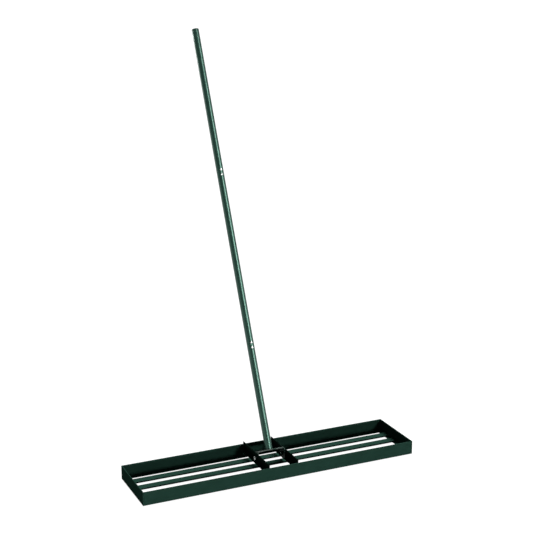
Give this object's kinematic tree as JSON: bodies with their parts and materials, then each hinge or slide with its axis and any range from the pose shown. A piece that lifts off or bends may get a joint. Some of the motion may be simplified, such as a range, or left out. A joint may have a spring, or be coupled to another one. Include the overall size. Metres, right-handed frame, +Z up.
{
  "type": "lawn leveling rake",
  "caption": "Lawn leveling rake: a long open steel tray with cross slats, moved by a long tube handle that tilts fore and aft on a bolted yoke.",
  "frame": {"origin": "middle of the underside of the front wall's flange, on the ground", "axes": "+X along the tray to the right, +Y from the front wall to the rear wall, +Z up; the handle leans towards +Y"},
  "size_m": [1.102, 0.8646, 1.598],
  "materials": {
    "dark_green_paint": "semi-gloss dark green powder coat on steel",
    "bright_zinc": "bright zinc plated steel",
    "green_plastic": "moulded dark green plastic with a fine satin grain"
  },
  "bodies": {
    "tray": {"front_left_corner_weld": "dark_green_paint", "front_right_corner_weld": "dark_green_paint", "front_slat": "dark_green_paint", "front_slat_left_weld": "dark_green_paint", "front_slat_right_weld": "dark_green_paint", "front_wall": "dark_green_paint", "left_end_wall": "dark_green_paint", "left_pivot_plate": "dark_green_paint", "left_plate_front_inner_weld": "dark_green_paint", "left_plate_front_outer_weld": "dark_green_paint", "left_plate_rear_inner_weld": "dark_green_paint", "left_plate_rear_outer_weld": "dark_green_paint", "middle_slat": "dark_green_paint", "middle_slat_left_weld": "dark_green_paint", "middle_slat_right_weld": "dark_green_paint", "rear_left_corner_weld": "dark_green_paint", "rear_right_corner_weld": "dark_green_paint", "rear_slat": "dark_green_paint", "rear_slat_left_weld": "dark_green_paint", "rear_slat_right_weld": "dark_green_paint", "rear_wall": "dark_green_paint", "right_end_wall": "dark_green_paint", "right_pivot_plate": "dark_green_paint", "right_plate_front_inner_weld": "dark_green_paint", "right_plate_front_outer_weld": "dark_green_paint", "right_plate_rear_inner_weld": "dark_green_paint", "right_plate_rear_outer_weld": "dark_green_paint"},
    "handle": {"end_cap": "green_plastic", "left_pivot_bolt": "bright_zinc", "left_pivot_nut": "dark_green_paint", "lower_joint_first_nut": "bright_zinc", "lower_joint_first_screw": "bright_zinc", "lower_joint_second_nut": "bright_zinc", "lower_joint_second_screw": "bright_zinc", "lower_joint_sleeve": "dark_green_paint", "lower_tube": "dark_green_paint", "middle_tube": "dark_green_paint", "right_pivot_bolt": "bright_zinc", "right_pivot_nut": "dark_green_paint", "swivel_yoke": "dark_green_paint", "upper_joint_first_nut": "bright_zinc", "upper_joint_first_screw": "bright_zinc", "upper_joint_second_nut": "bright_zinc", "upper_joint_second_screw": "bright_zinc", "upper_joint_sleeve": "dark_green_paint", "upper_tube": "dark_green_paint", "yoke_weld": "dark_green_paint"}
  },
  "joints": [
    {"name": "handle_tilt", "type": "hinge", "parent": "tray", "child": "handle", "pos_m": [0, 0.1215, 0.042], "axis": [1, 0, 0], "range_deg": [-51, 101]}
  ]
}
